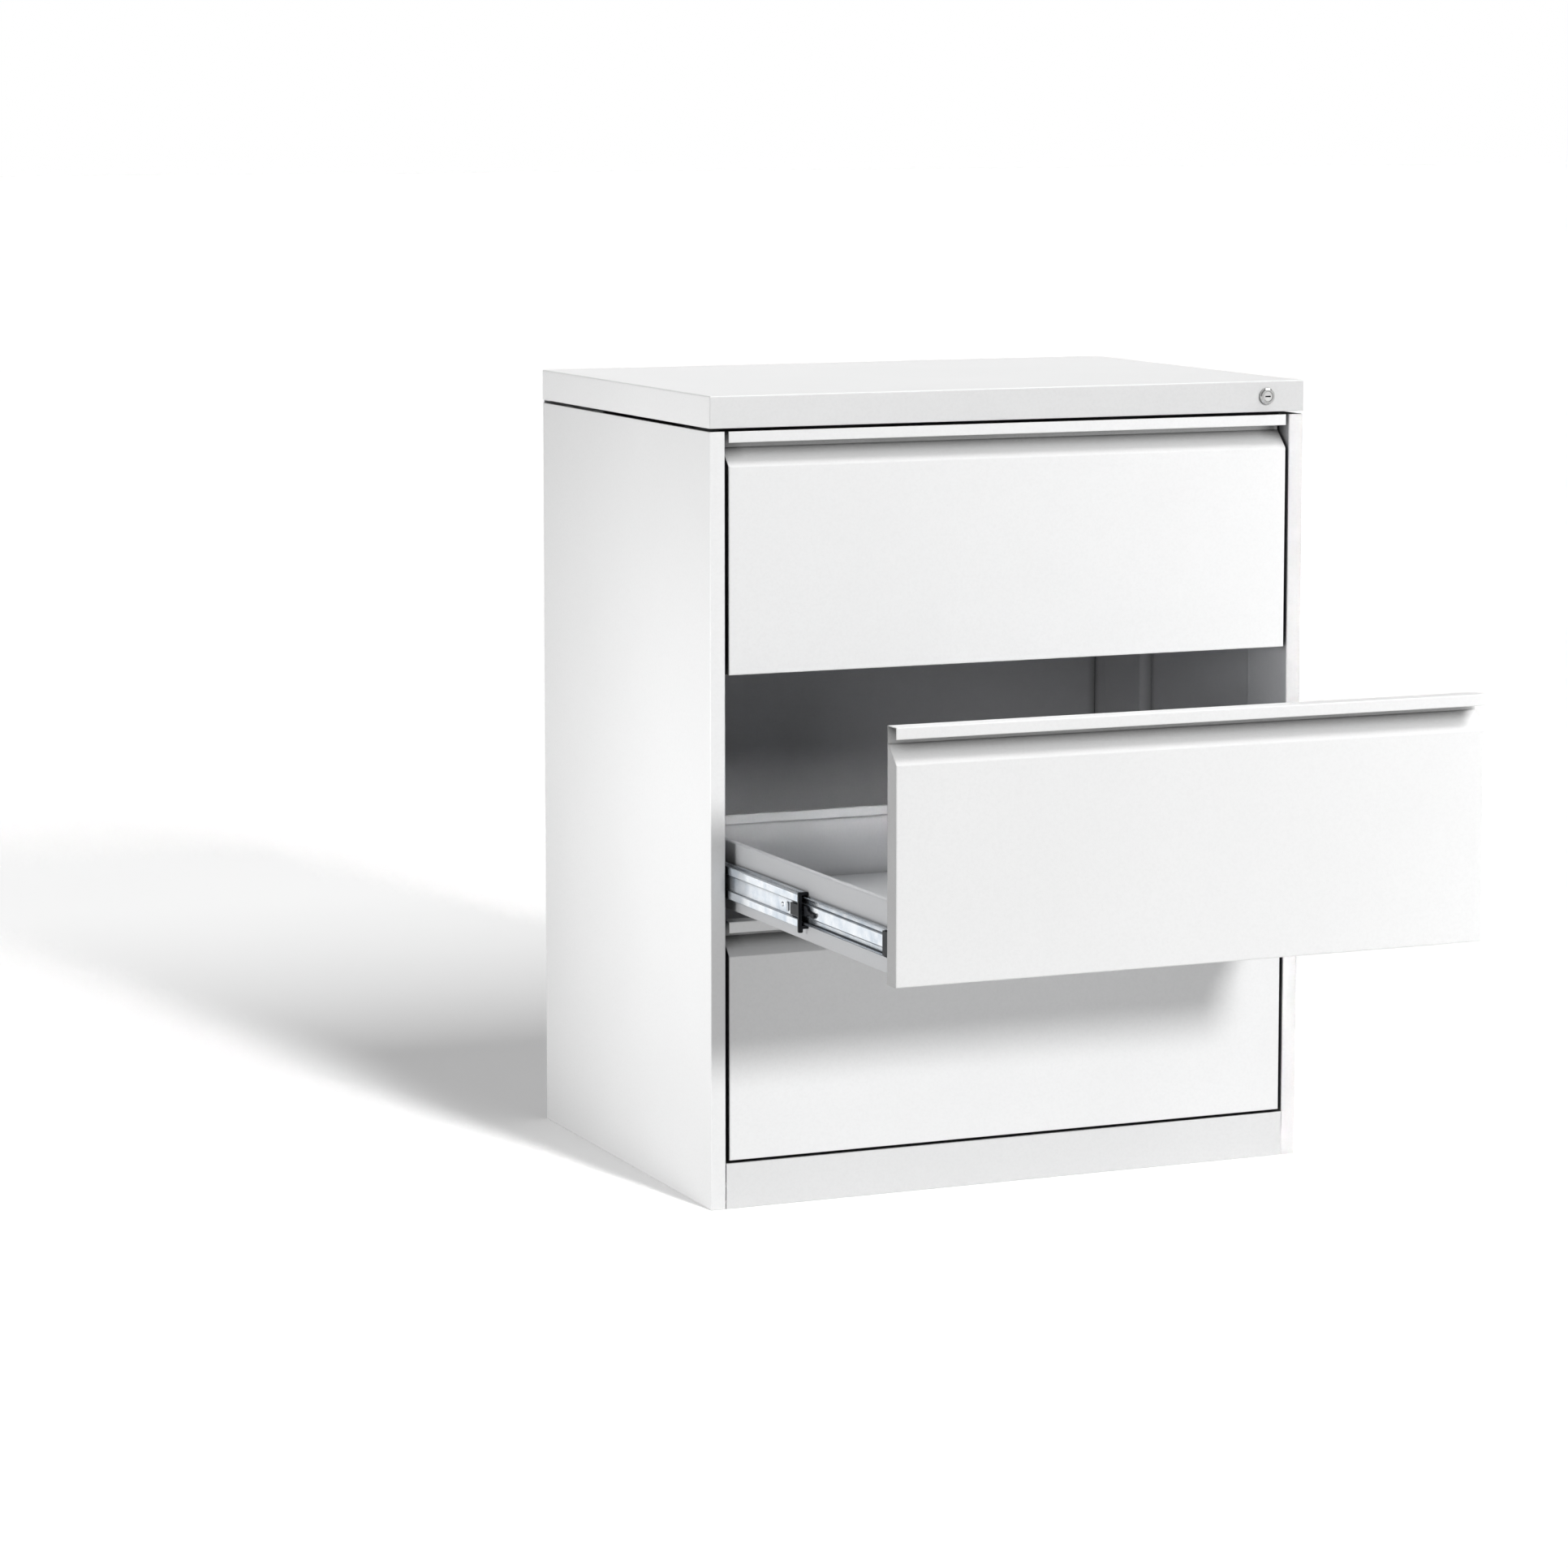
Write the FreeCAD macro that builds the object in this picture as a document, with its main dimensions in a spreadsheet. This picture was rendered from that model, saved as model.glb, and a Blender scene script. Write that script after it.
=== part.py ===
import FreeCAD, Part
import math
import os
import re
import Sketcher

Vector = FreeCAD.Vector

# Driving dimensions: millimetres, degrees for the angles, plain counts
SIZES = {
    # Carcass of folded sheet steel
    "cabinet_width": 830,
    "cabinet_depth": 590,
    "cabinet_height": 1020,
    "sheet_thickness": 1,
    "edge_radius": 1.6,
    "stile_width": 20,
    "post_depth": 105,
    "weld_gap": 0.5,
    "rear_flange": 15,
    "back_top_flange": 22,
    "upright_setback": 415,
    "upright_width": 105,
    "plinth_height": 58,
    "plinth_return": 24,
    "plinth_seam": 0.5,
    "base_flange_drop": 36,
    "base_foot_ledge": 40,
    "rail_setback": 29,
    "rail_depth": 36,
    "rail_height": 34,
    "rail_lip": 12,
    # Top cover over a shadow gap
    "cover_height": 40,
    "shadow_gap": 4,
    "cover_side_return": 8,
    "cover_front_return": 40,
    "cover_rear_return": 18,
    # Drawer fronts with a full-width grip
    "drawer_count": 3,
    "front_gap": 3.5,
    "side_gap": 5,
    "front_depth": 24,
    "front_fold_radius": 1.2,
    "lip_height": 14,
    "grip_drop": 44,
    "grip_rise": 24,
    "liner_flange": 6,
    "liner_fit": 0.4,
    # Drawer trays with a raised floor, low sides, a taller rear wall and a folded rim
    "tray_lift": 8,
    "tray_wall": 86,
    "tray_depth": 556,
    "floor_lift": 24,
    "rear_wall_rise": 25,
    "rim_width": 7,
    "rim_drop": 6,
    "rear_rim_drop": 12,
    "rim_radius": 1.8,
    # Ball-bearing telescopic slides
    "slide_length": 500,
    "slide_setback": 32,
    "slide_lift": 46,
    "slide_height": 52,
    "strip_thickness": 1.35,
    "ball_radius": 2.25,
    "race_play": 0.22,
    "race_offset": 3.6,
    "race_lean": 35,
    "cabinet_wrap": 75,
    "race_wrap": 100,
    "crest_radius": 1,
    "corner_radius": 1.6,
    "retainer_gap": 2,
    "retainer_thickness": 0.9,
    "retainer_share": 0.4,
    "retainer_bend": 1.15,
    "retainer_margin": 14,
    "retainer_reach": 1.6,
    "retainer_clear": 0.6,
    "retainer_dip": 88,
    "retainer_sweep": 47,
    "balls_per_row": 3,
    "intermediate_web_half": 8.5,
    "drawer_web_half": 6.5,
    "web_step": 2.4,
    "web_bend": 1.2,
    "web_slope": 60,
    "web_hole_radius": 4.5,
    "web_hole_pitch": 96,
    "web_hole_count": 2,
    "web_hole_margin": 60,
    "stop_length": 22,
    "stop_height": 15,
    "stop_depth": 3.2,
    "stop_plate": 3,
    "stop_fit": 0.3,
    "stop_round": 1.5,
    "cap_plug": 16,
    "cap_flange": 3.2,
    "cap_height": 37,
    "tab_drop": 4.5,
    "tab_width": 6,
    # Cam lock, lock bar and catches
    "lock_inset": 54,
    "bezel_diameter": 21,
    "bezel_height": 5,
    "bezel_bevel": 1.5,
    "lock_body_diameter": 17,
    "lock_body_length": 28,
    "lock_fit": 0.25,
    "plug_diameter": 13,
    "plug_sink": 0.6,
    "key_width": 8,
    "key_height": 1.8,
    "key_depth": 12,
    "spigot_width": 7,
    "cam_thickness": 2,
    "cam_half_width": 5.5,
    "cam_tail": 7,
    "cam_round": 4,
    "cam_throw": 7,
    "cam_pin_diameter": 4,
    "cam_pin_length": 18,
    "cam_pin_play": 0.4,
    "lock_turn": 90,
    "bar_setback": 46,
    "bar_thickness": 2,
    "bar_width": 8,
    "bar_wall_gap": 2,
    "bar_foot": 100,
    "bar_arm_wall": 3,
    "finger_reach": 10,
    "finger_height": 6,
    "finger_clear": 2,
    "slot_play": 1,
    "guide_height": 12,
    "guide_wall": 3.5,
    "guide_fit": 0.3,
    "catch_lift": 82,
    "catch_radius": 5.5,
    "catch_neck_radius": 4,
    "catch_head": 3,
    "catch_reach": 10,
    "catch_setback": 54.5,
    # Levelling feet
    "foot_inset": 20,
    "foot_end_inset": 52,
    "foot_radius": 14,
    "foot_pad_height": 7,
    "foot_chamfer": 1.5,
    "foot_stud_radius": 5,
    "foot_stud_length": 36,
    "foot_clear": 1,
    "foot_fit": 0.3,
    # How far every cut reaches past the solid that it cuts
    "cut_overrun": 1,
}

doc = FreeCAD.newDocument("filing_cabinet")
sheet = doc.addObject("Spreadsheet::Sheet", "Sizes")
for row, (name, value) in enumerate(SIZES.items(), start=1):
    sheet.set(f"A{row}", name)
    sheet.set(f"B{row}", str(value))
    sheet.setAlias(f"B{row}", name)
doc.recompute()

SIDES = (("left", -1), ("right", 1))
DRAWERS = ("bottom", "middle", "top")
# How far out each drawer stands at rest, as a share of its travel
OPEN_SHARES = {"bottom": 0, "middle": 1, "top": 0}
nodes = []


def bound(text):
    """Expression in which each size name points at its cell of the sheet."""
    return re.sub(r"\b([a-z]+(?:_[a-z]+)+)\b", r"Sizes.\1", str(text))


def size(text):
    """Value of an expression in size names."""
    return float(sheet.evalExpression(bound(text)))


# Places that several pieces share, as expressions in the driving dimensions
FRONT_Y = "(-cabinet_depth / 2)"
REAR_Y = "(cabinet_depth / 2)"
OPENING_HALF = "(cabinet_width / 2 - stile_width)"
CARCASS_TOP = "(cabinet_height - cover_height - shadow_gap)"
COVER_BOTTOM = "(cabinet_height - cover_height)"
FRONT_HEIGHT = f"(({CARCASS_TOP} - plinth_height) / drawer_count - front_gap)"
FRONT_HALF = f"({OPENING_HALF} - side_gap)"
RACE_RADIUS = "(ball_radius + race_play + strip_thickness / 2)"
SLIDE_THICKNESS = (
    "(2 * strip_thickness + retainer_gap + 2 * race_offset"
    f" + 2 * {RACE_RADIUS} * cos(race_lean))"
)
TRAY_HALF = f"({OPENING_HALF} - {SLIDE_THICKNESS})"
LOCK_X = "(cabinet_width / 2 - lock_inset)"
LOCK_Z = "(cabinet_height - cover_height / 2)"
BAR_Y = f"({FRONT_Y} + bar_setback)"
BAR_X = f"({OPENING_HALF} + sheet_thickness + bar_wall_gap)"
BAR_DROP = "(2 * cam_throw * sin(lock_turn / 2))"
FINGER_LIFT = "(catch_lift + catch_radius + finger_clear)"
FOOT_X = f"({OPENING_HALF} - foot_inset)"
LEDGE_Z = "(plinth_height - base_flange_drop)"


def drawer_bottom(index):
    """Height of the lower edge of a drawer's front."""
    return f"(plinth_height + front_gap + {index} * ({FRONT_HEIGHT} + front_gap))"


def new_body(label):
    """Empty body that becomes the node of that name."""
    body = doc.addObject("PartDesign::Body", label)
    body.Label = label
    nodes.append(body)
    return body


def origin_feature(body, role):
    """Plane or axis of a body's own origin."""
    return next(part for part in body.Origin.OriginFeatures if part.Role == role)


def new_sketch(body, plane, lift="0"):
    """Sketch on one of the body's own planes, lifted along the plane's normal."""
    sketch = body.newObject("Sketcher::SketchObject", f"{body.Name}_sketch")
    sketch.AttachmentSupport = (origin_feature(body, plane), [""])
    sketch.MapMode = "FlatFace"
    sketch.setExpression("AttachmentOffset.Base.z", bound(lift))
    return sketch


def fix_point(sketch, curve, end, point):
    """Ties one point of a sketch to a pair of expressions."""
    for kind, text in zip(("DistanceX", "DistanceY"), point):
        rule = Sketcher.Constraint(kind, -1, 1, curve, end, size(text))
        sketch.setExpression(f"Constraints[{sketch.addConstraint(rule)}]", bound(text))


def draw_polygon(sketch, points):
    """Closed outline through points that are pairs of expressions."""
    first = sketch.GeometryCount
    corners = [Vector(size(across), size(along)) for across, along in points]
    count = len(corners)
    for place in range(count):
        line = Part.LineSegment(corners[place], corners[(place + 1) % count])
        sketch.addGeometry(line)
    for place in range(count):
        following = first + (place + 1) % count
        sketch.addConstraint(Sketcher.Constraint("Coincident", first + place, 2, following, 1))
        fix_point(sketch, first + place, 1, points[place])
    return sketch


def draw_rectangle(sketch, left, bottom, right, top):
    """Closed rectangle between two corners."""
    corners = [(left, bottom), (right, bottom), (right, top), (left, top)]
    return draw_polygon(sketch, corners)


def draw_circle(sketch, centre, radius):
    """Circle with its centre and radius tied to expressions."""
    middle = Vector(size(centre[0]), size(centre[1]))
    circle = sketch.addGeometry(Part.Circle(middle, Vector(0, 0, 1), size(radius)))
    fix_point(sketch, circle, 3, centre)
    rule = Sketcher.Constraint("Radius", circle, size(radius))
    sketch.setExpression(f"Constraints[{sketch.addConstraint(rule)}]", bound(radius))
    return sketch


def pad(body, sketch, length, side="One side", back=False):
    """Adds the sketch's profile, drawn out along its normal."""
    feature = body.newObject("PartDesign::Pad", f"{body.Name}_pad")
    feature.Profile = sketch
    feature.SideType = side
    feature.Reversed = back
    feature.setExpression("Length", bound(length))
    doc.recompute()
    return feature


def pocket(body, sketch, length, side="One side", back=False):
    """Cuts the sketch's profile against its normal, and stops if nothing was cut."""
    before = body.Shape.Volume
    feature = body.newObject("PartDesign::Pocket", f"{body.Name}_pocket")
    feature.Profile = sketch
    feature.SideType = side
    feature.Reversed = back
    feature.setExpression("Length", bound(length))
    doc.recompute()
    if not body.Shape.Volume < before:
        raise RuntimeError(f"a pocket in {body.Label} cuts nothing")
    return feature


def revolve(body, sketch, axis):
    """Turns the sketch's profile once round one of the body's own axes."""
    feature = body.newObject("PartDesign::Revolution", f"{body.Name}_turned")
    feature.Profile = sketch
    feature.ReferenceAxis = (origin_feature(body, axis), [""])
    doc.recompute()
    return feature


def round_edges(body, radius, axes, wanted):
    """Rounds the edges along the named axes whose two ends both satisfy the test."""
    base = body.Tip
    names = []
    for number, edge in enumerate(base.Shape.Edges, start=1):
        ends = [vertex.Point for vertex in edge.Vertexes]
        if len(ends) == 2 and all(wanted(end) for end in ends):
            span = ends[1] - ends[0]
            if any(math.isclose(abs(getattr(span, axis)), span.Length) for axis in axes):
                names.append(f"Edge{number}")
    feature = body.newObject("PartDesign::Fillet", f"{body.Name}_fillet")
    feature.Base = (base, names)
    feature.setExpression("Radius", bound(radius))
    doc.recompute()
    return feature


def near(value, text):
    """True where a coordinate equals an expression."""
    return math.isclose(value, size(text), abs_tol=Part.Precision.approximation())


def place(body, across="0", along="0", up="0"):
    """Ties a node's place to expressions."""
    for axis, text in zip("xyz", (across, along, up)):
        body.setExpression(f"Placement.Base.{axis}", bound(text))
    doc.recompute()


def group(label, members):
    """One node of several separate solids."""
    compound = doc.addObject("Part::Compound", label)
    compound.Label = label
    compound.Links = members
    for member in members:
        if member in nodes:
            nodes.remove(member)
    nodes.append(compound)
    doc.recompute()
    return compound


# Side panels: skin, front stile and box post folded from one sheet
def make_side_panel(side, sign):
    body = new_body(f"side_panel_{side}")

    def inward(text):
        return f"({sign} * (cabinet_width / 2 - {text}))"

    post_back = f"({FRONT_Y} + post_depth)"
    lip_end = inward("(sheet_thickness + weld_gap)")
    stile_inside = inward("(stile_width - sheet_thickness)")
    outline = [
        (inward("0"), REAR_Y),
        (inward("0"), FRONT_Y),
        (inward("stile_width"), FRONT_Y),
        (inward("stile_width"), post_back),
        (lip_end, post_back),
        (lip_end, f"{post_back} - sheet_thickness"),
        (stile_inside, f"{post_back} - sheet_thickness"),
        (stile_inside, f"{FRONT_Y} + sheet_thickness"),
        (inward("sheet_thickness"), f"{FRONT_Y} + sheet_thickness"),
        (inward("sheet_thickness"), f"{REAR_Y} - sheet_thickness"),
        (inward("rear_flange"), f"{REAR_Y} - sheet_thickness"),
        (inward("rear_flange"), REAR_Y),
    ]
    pad(body, draw_polygon(new_sketch(body, "XY_Plane"), outline), CARCASS_TOP)
    folds = outline[:3]
    round_edges(body, "edge_radius", "z", lambda end: any(
        near(end.x, across) and near(end.y, along) for across, along in folds))
    return body


def cut_finger_slots(body):
    """Slots in the post's inner wall for the lock bar's fingers."""
    lift = f"{OPENING_HALF} + sheet_thickness + cut_overrun"
    sketch = new_sketch(body, "YZ_Plane", lift)
    half = "(bar_thickness / 2 + slot_play)"
    for index in range(len(DRAWERS)):
        lower = f"({drawer_bottom(index)} + {FINGER_LIFT} - {BAR_DROP} - slot_play)"
        upper = f"({drawer_bottom(index)} + {FINGER_LIFT} + finger_height + slot_play)"
        draw_rectangle(sketch, f"{BAR_Y} - {half}", lower, f"{BAR_Y} + {half}", upper)
    pocket(body, sketch, "sheet_thickness + 2 * cut_overrun")


for side, sign in SIDES:
    panel = make_side_panel(side, sign)
cut_finger_slots(panel)


# Rear uprights: channels on the side panels that carry the slides' rear ends
def make_upright(side, sign):
    body = new_body(f"rear_upright_{side}")
    face = f"({sign} * {OPENING_HALF})"
    web = f"({sign} * ({OPENING_HALF} + sheet_thickness))"
    foot = f"({sign} * (cabinet_width / 2 - sheet_thickness))"
    front = f"({FRONT_Y} + upright_setback)"
    rear = f"({front} + upright_width)"
    outline = [
        (face, front),
        (foot, front),
        (foot, f"{front} + sheet_thickness"),
        (web, f"{front} + sheet_thickness"),
        (web, f"{rear} - sheet_thickness"),
        (foot, f"{rear} - sheet_thickness"),
        (foot, rear),
        (face, rear),
    ]
    pad(body, draw_polygon(new_sketch(body, "XY_Plane"), outline), CARCASS_TOP)


for side, sign in SIDES:
    make_upright(side, sign)


# Back panel: one sheet inside the side panels' rear flanges, folded over at the top
back = new_body("back_panel")
BACK_FACE = f"({REAR_Y} - sheet_thickness)"
BACK_INSIDE = f"({REAR_Y} - 2 * sheet_thickness)"
draw = draw_polygon(new_sketch(back, "YZ_Plane"), [
    (BACK_FACE, "0"),
    (BACK_FACE, COVER_BOTTOM),
    (f"{BACK_FACE} - back_top_flange", COVER_BOTTOM),
    (f"{BACK_FACE} - back_top_flange", f"{COVER_BOTTOM} - sheet_thickness"),
    (BACK_INSIDE, f"{COVER_BOTTOM} - sheet_thickness"),
    (BACK_INSIDE, "0"),
])
pad(back, draw, "cabinet_width - 2 * (sheet_thickness + weld_gap)", side="Symmetric")

# Plinth: channel between the stiles, closed off by a thin seam at each end
plinth = new_body("plinth")
PLINTH_BACK = f"({FRONT_Y} + plinth_return)"
draw = draw_polygon(new_sketch(plinth, "YZ_Plane"), [
    (FRONT_Y, "0"),
    (PLINTH_BACK, "0"),
    (PLINTH_BACK, "sheet_thickness"),
    (f"{FRONT_Y} + sheet_thickness", "sheet_thickness"),
    (f"{FRONT_Y} + sheet_thickness", "plinth_height - sheet_thickness"),
    (PLINTH_BACK, "plinth_height - sheet_thickness"),
    (PLINTH_BACK, "plinth_height"),
    (FRONT_Y, "plinth_height"),
])
pad(plinth, draw, f"2 * ({OPENING_HALF} - plinth_seam)", side="Symmetric")
round_edges(plinth, "edge_radius", "x", lambda end: near(end.y, FRONT_Y) and not near(end.z, "0"))

# Base panel: floor of the carcass, folded down and in to make ledges for the feet
base = new_body("base_panel")
LEDGE_INSIDE = f"({OPENING_HALF} - base_foot_ledge)"
FLANGE_INSIDE = f"({OPENING_HALF} - sheet_thickness)"
half_outline = [
    (OPENING_HALF, "plinth_height"),
    (OPENING_HALF, LEDGE_Z),
    (LEDGE_INSIDE, LEDGE_Z),
    (LEDGE_INSIDE, f"{LEDGE_Z} + sheet_thickness"),
    (FLANGE_INSIDE, f"{LEDGE_Z} + sheet_thickness"),
    (FLANGE_INSIDE, "plinth_height - sheet_thickness"),
]
other_half = [(f"(-{across})", up) for across, up in reversed(half_outline)]
draw = draw_polygon(new_sketch(base, "XZ_Plane", f"-{PLINTH_BACK}"), half_outline + other_half)
pad(base, draw, f"{BACK_INSIDE} - {PLINTH_BACK}", back=True)
FOOT_PLACES = [
    (f"({sign} * {FOOT_X})", f"({end} * ({REAR_Y} - foot_end_inset))")
    for _, sign in SIDES for end in (-1, 1)
]
holes = new_sketch(base, "XY_Plane", f"{LEDGE_Z} + sheet_thickness + cut_overrun")
for spot in FOOT_PLACES:
    draw_circle(holes, spot, "foot_stud_radius + foot_fit")
pocket(base, holes, "sheet_thickness + 2 * cut_overrun")

# Front top rail: channel between the posts that carries the cover behind the top drawer
rail = new_body("front_top_rail")
RAIL_FRONT = f"({FRONT_Y} + rail_setback)"
RAIL_REAR = f"({RAIL_FRONT} + rail_depth)"
RAIL_UNDER = f"({COVER_BOTTOM} - sheet_thickness)"
draw = draw_polygon(new_sketch(rail, "YZ_Plane"), [
    (RAIL_FRONT, COVER_BOTTOM),
    (RAIL_FRONT, f"{COVER_BOTTOM} - rail_height"),
    (f"{RAIL_FRONT} + sheet_thickness", f"{COVER_BOTTOM} - rail_height"),
    (f"{RAIL_FRONT} + sheet_thickness", RAIL_UNDER),
    (f"{RAIL_REAR} - sheet_thickness", RAIL_UNDER),
    (f"{RAIL_REAR} - sheet_thickness", f"{COVER_BOTTOM} - rail_lip"),
    (RAIL_REAR, f"{COVER_BOTTOM} - rail_lip"),
    (RAIL_REAR, COVER_BOTTOM),
])
pad(rail, draw, f"2 * {OPENING_HALF}", side="Symmetric")

# Top cover: folded pan with a return all round its lower edge and a hole for the lock
cover = new_body("top_cover")
COVER_HALF = "(cabinet_width / 2)"
COVER_INSIDE = f"({COVER_HALF} - sheet_thickness)"
draw = draw_rectangle(
    new_sketch(cover, "XY_Plane", COVER_BOTTOM),
    f"-{COVER_HALF}", FRONT_Y, COVER_HALF, REAR_Y,
)
pad(cover, draw, "cover_height")
round_edges(cover, "edge_radius", "xy", lambda end: near(end.z, "cabinet_height"))
draw = draw_rectangle(
    new_sketch(cover, "XY_Plane", "cabinet_height - sheet_thickness"),
    f"-{COVER_INSIDE}", f"{FRONT_Y} + sheet_thickness",
    COVER_INSIDE, f"{REAR_Y} - sheet_thickness",
)
pocket(cover, draw, "cover_height - 2 * sheet_thickness")
draw = draw_rectangle(
    new_sketch(cover, "XY_Plane", f"{COVER_BOTTOM} + sheet_thickness + cut_overrun"),
    f"-({COVER_HALF} - cover_side_return)", f"{FRONT_Y} + cover_front_return",
    f"{COVER_HALF} - cover_side_return", f"{REAR_Y} - cover_rear_return",
)
pocket(cover, draw, "sheet_thickness + 2 * cut_overrun")
draw = draw_circle(
    new_sketch(cover, "XZ_Plane", f"-{FRONT_Y}"),
    (LOCK_X, LOCK_Z), "lock_body_diameter / 2 + lock_fit",
)
pocket(cover, draw, "2 * sheet_thickness + 2 * cut_overrun", side="Symmetric")


# Drawer fronts: hollow pan with a sloping grip and a turned-down lip along the top
def make_front(name):
    body = new_body(f"drawer_front_{name}")
    slope_top = f"({FRONT_HEIGHT} - grip_drop + grip_rise)"
    crease = f"({FRONT_HEIGHT} - grip_drop)"
    slope = "(grip_rise / front_depth)"
    skin_drop = f"(sheet_thickness * sqrt(1 + {slope} ^ 2))"
    draw = draw_polygon(new_sketch(body, "YZ_Plane"), [
        ("0", "0"),
        ("front_depth", "0"),
        ("front_depth", slope_top),
        ("0", crease),
    ])
    pad(body, draw, f"2 * {FRONT_HALF}", side="Symmetric")
    draw = draw_polygon(new_sketch(body, "YZ_Plane"), [
        ("sheet_thickness", "sheet_thickness"),
        ("front_depth + cut_overrun", "sheet_thickness"),
        ("front_depth + cut_overrun", f"{slope_top} + {slope} * cut_overrun - {skin_drop}"),
        ("sheet_thickness", f"{crease} + {slope} * sheet_thickness - {skin_drop}"),
    ])
    pocket(body, draw, f"2 * ({FRONT_HALF} - sheet_thickness)", side="Symmetric")
    draw = draw_polygon(new_sketch(body, "YZ_Plane"), [
        ("front_depth", f"{slope_top} - {slope} * sheet_thickness"),
        ("front_depth", FRONT_HEIGHT),
        ("0", FRONT_HEIGHT),
        ("0", f"{FRONT_HEIGHT} - lip_height"),
        ("sheet_thickness", f"{FRONT_HEIGHT} - lip_height"),
        ("sheet_thickness", f"{FRONT_HEIGHT} - sheet_thickness"),
        ("front_depth - sheet_thickness", f"{FRONT_HEIGHT} - sheet_thickness"),
        ("front_depth - sheet_thickness", f"{slope_top} - {slope} * sheet_thickness"),
    ])
    pad(body, draw, f"2 * {FRONT_HALF}", side="Symmetric")
    folds = ("0", crease, FRONT_HEIGHT)
    round_edges(body, "front_fold_radius", "xz", lambda end: near(end.y, "0") and any(
        near(end.z, up) for up in folds))
    return body


# Drawer front liners: inner plates that close the fronts, with a flange down each side
def make_liner(name):
    body = new_body(f"drawer_liner_{name}")
    outside = f"({FRONT_HALF} - sheet_thickness - liner_fit)"
    inside = f"({outside} - sheet_thickness)"
    flange_front = "(front_depth - liner_flange)"
    plate_front = "(front_depth - sheet_thickness)"
    half_outline = [
        (outside, "front_depth"),
        (outside, flange_front),
        (inside, flange_front),
        (inside, plate_front),
    ]
    other_half = [(f"(-{across})", along) for across, along in reversed(half_outline)]
    slope = "(grip_rise / front_depth)"
    skin_drop = f"(sheet_thickness * sqrt(1 + {slope} ^ 2))"
    ceiling = f"({FRONT_HEIGHT} - grip_drop - {skin_drop} - liner_fit)"
    foot = "(sheet_thickness + liner_fit)"
    draw = draw_polygon(new_sketch(body, "XY_Plane", foot), half_outline + other_half)
    pad(body, draw, f"{ceiling} + {slope} * {plate_front} - {foot}")
    draw = draw_polygon(new_sketch(body, "YZ_Plane"), [
        (f"{flange_front} - cut_overrun", f"{ceiling} + {slope} * ({flange_front} - cut_overrun)"),
        (plate_front, f"{ceiling} + {slope} * {plate_front}"),
        (plate_front, FRONT_HEIGHT),
        (f"{flange_front} - cut_overrun", FRONT_HEIGHT),
    ])
    pocket(body, draw, f"2 * ({FRONT_HALF} + cut_overrun)", side="Symmetric")
    return body


# Drawer trays: folded sheet, with the floor set in above the walls' lower edges and the rim turned in
def make_tray(name):
    body = new_body(f"drawer_tray_{name}")
    rear = "(front_depth + tray_depth)"
    rear_inside = f"({rear} - sheet_thickness)"
    rim_inside = f"({rear} - rim_width)"
    top = "(tray_lift + tray_wall)"
    rear_top = f"({top} + rear_wall_rise)"

    def rectangle(sketch, inset):
        return draw_rectangle(
            sketch,
            f"-({TRAY_HALF} - {inset})", f"front_depth + {inset}",
            f"{TRAY_HALF} - {inset}", f"{rear} - {inset}",
        )

    def three_sides(sketch, outer, inner):
        """Strip between two insets along the front and both sides, up to the rear wall."""
        half_outline = [
            (f"({TRAY_HALF} - {outer})", f"(front_depth + {outer})"),
            (f"({TRAY_HALF} - {outer})", rear_inside),
            (f"({TRAY_HALF} - {inner})", rear_inside),
            (f"({TRAY_HALF} - {inner})", f"(front_depth + {inner})"),
        ]
        other_half = [(f"(-{across})", along) for across, along in reversed(half_outline)]
        return draw_polygon(sketch, half_outline + other_half)

    pad(body, rectangle(new_sketch(body, "XY_Plane", "tray_lift"), "0"), "tray_wall")
    hollow = rectangle(new_sketch(body, "XY_Plane", top), "sheet_thickness")
    pocket(body, hollow, "tray_wall - floor_lift")
    underside = rectangle(new_sketch(body, "XY_Plane", "tray_lift"), "sheet_thickness")
    pocket(body, underside, "floor_lift - sheet_thickness", back=True)
    rim = three_sides(new_sketch(body, "XY_Plane", top), "0", "rim_width")
    pad(body, rim, "sheet_thickness", back=True)
    hem = three_sides(new_sketch(body, "XY_Plane", top), "(rim_width - sheet_thickness)", "rim_width")
    pad(body, hem, "rim_drop", back=True)
    draw = draw_polygon(new_sketch(body, "YZ_Plane"), [
        (rear, f"{top} - sheet_thickness"),
        (rear, rear_top),
        (rim_inside, rear_top),
        (rim_inside, f"{rear_top} - rear_rim_drop"),
        (f"{rim_inside} + sheet_thickness", f"{rear_top} - rear_rim_drop"),
        (f"{rim_inside} + sheet_thickness", f"{rear_top} - sheet_thickness"),
        (rear_inside, f"{rear_top} - sheet_thickness"),
        (rear_inside, f"{top} - sheet_thickness"),
    ])
    pad(body, draw, f"2 * {TRAY_HALF}", side="Symmetric")
    round_edges(body, "rim_radius", "y", lambda end: near(end.z, top) and near(abs(end.x), TRAY_HALF))
    round_edges(body, "rim_radius", "x", lambda end: near(end.z, rear_top) and near(end.y, rear))
    return body


# Lock catches: turned studs riveted to the right side of each tray
def make_catch(name):
    body = new_body(f"lock_catch_{name}")
    draw = draw_polygon(new_sketch(body, "XZ_Plane"), [
        ("0", "0"),
        ("catch_reach", "0"),
        ("catch_reach", "catch_radius"),
        ("catch_reach - catch_head", "catch_radius"),
        ("catch_reach - catch_head", "catch_neck_radius"),
        ("0", "catch_neck_radius"),
    ])
    revolve(body, draw, "X_Axis")
    return body


def drawer_y(name, share=1):
    """Place of a drawer's front plane, or of a piece that moves a share of its travel, which is
    the slides' own length."""
    return f"({FRONT_Y} - {share} * {OPEN_SHARES[name]} * slide_length)"


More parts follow.
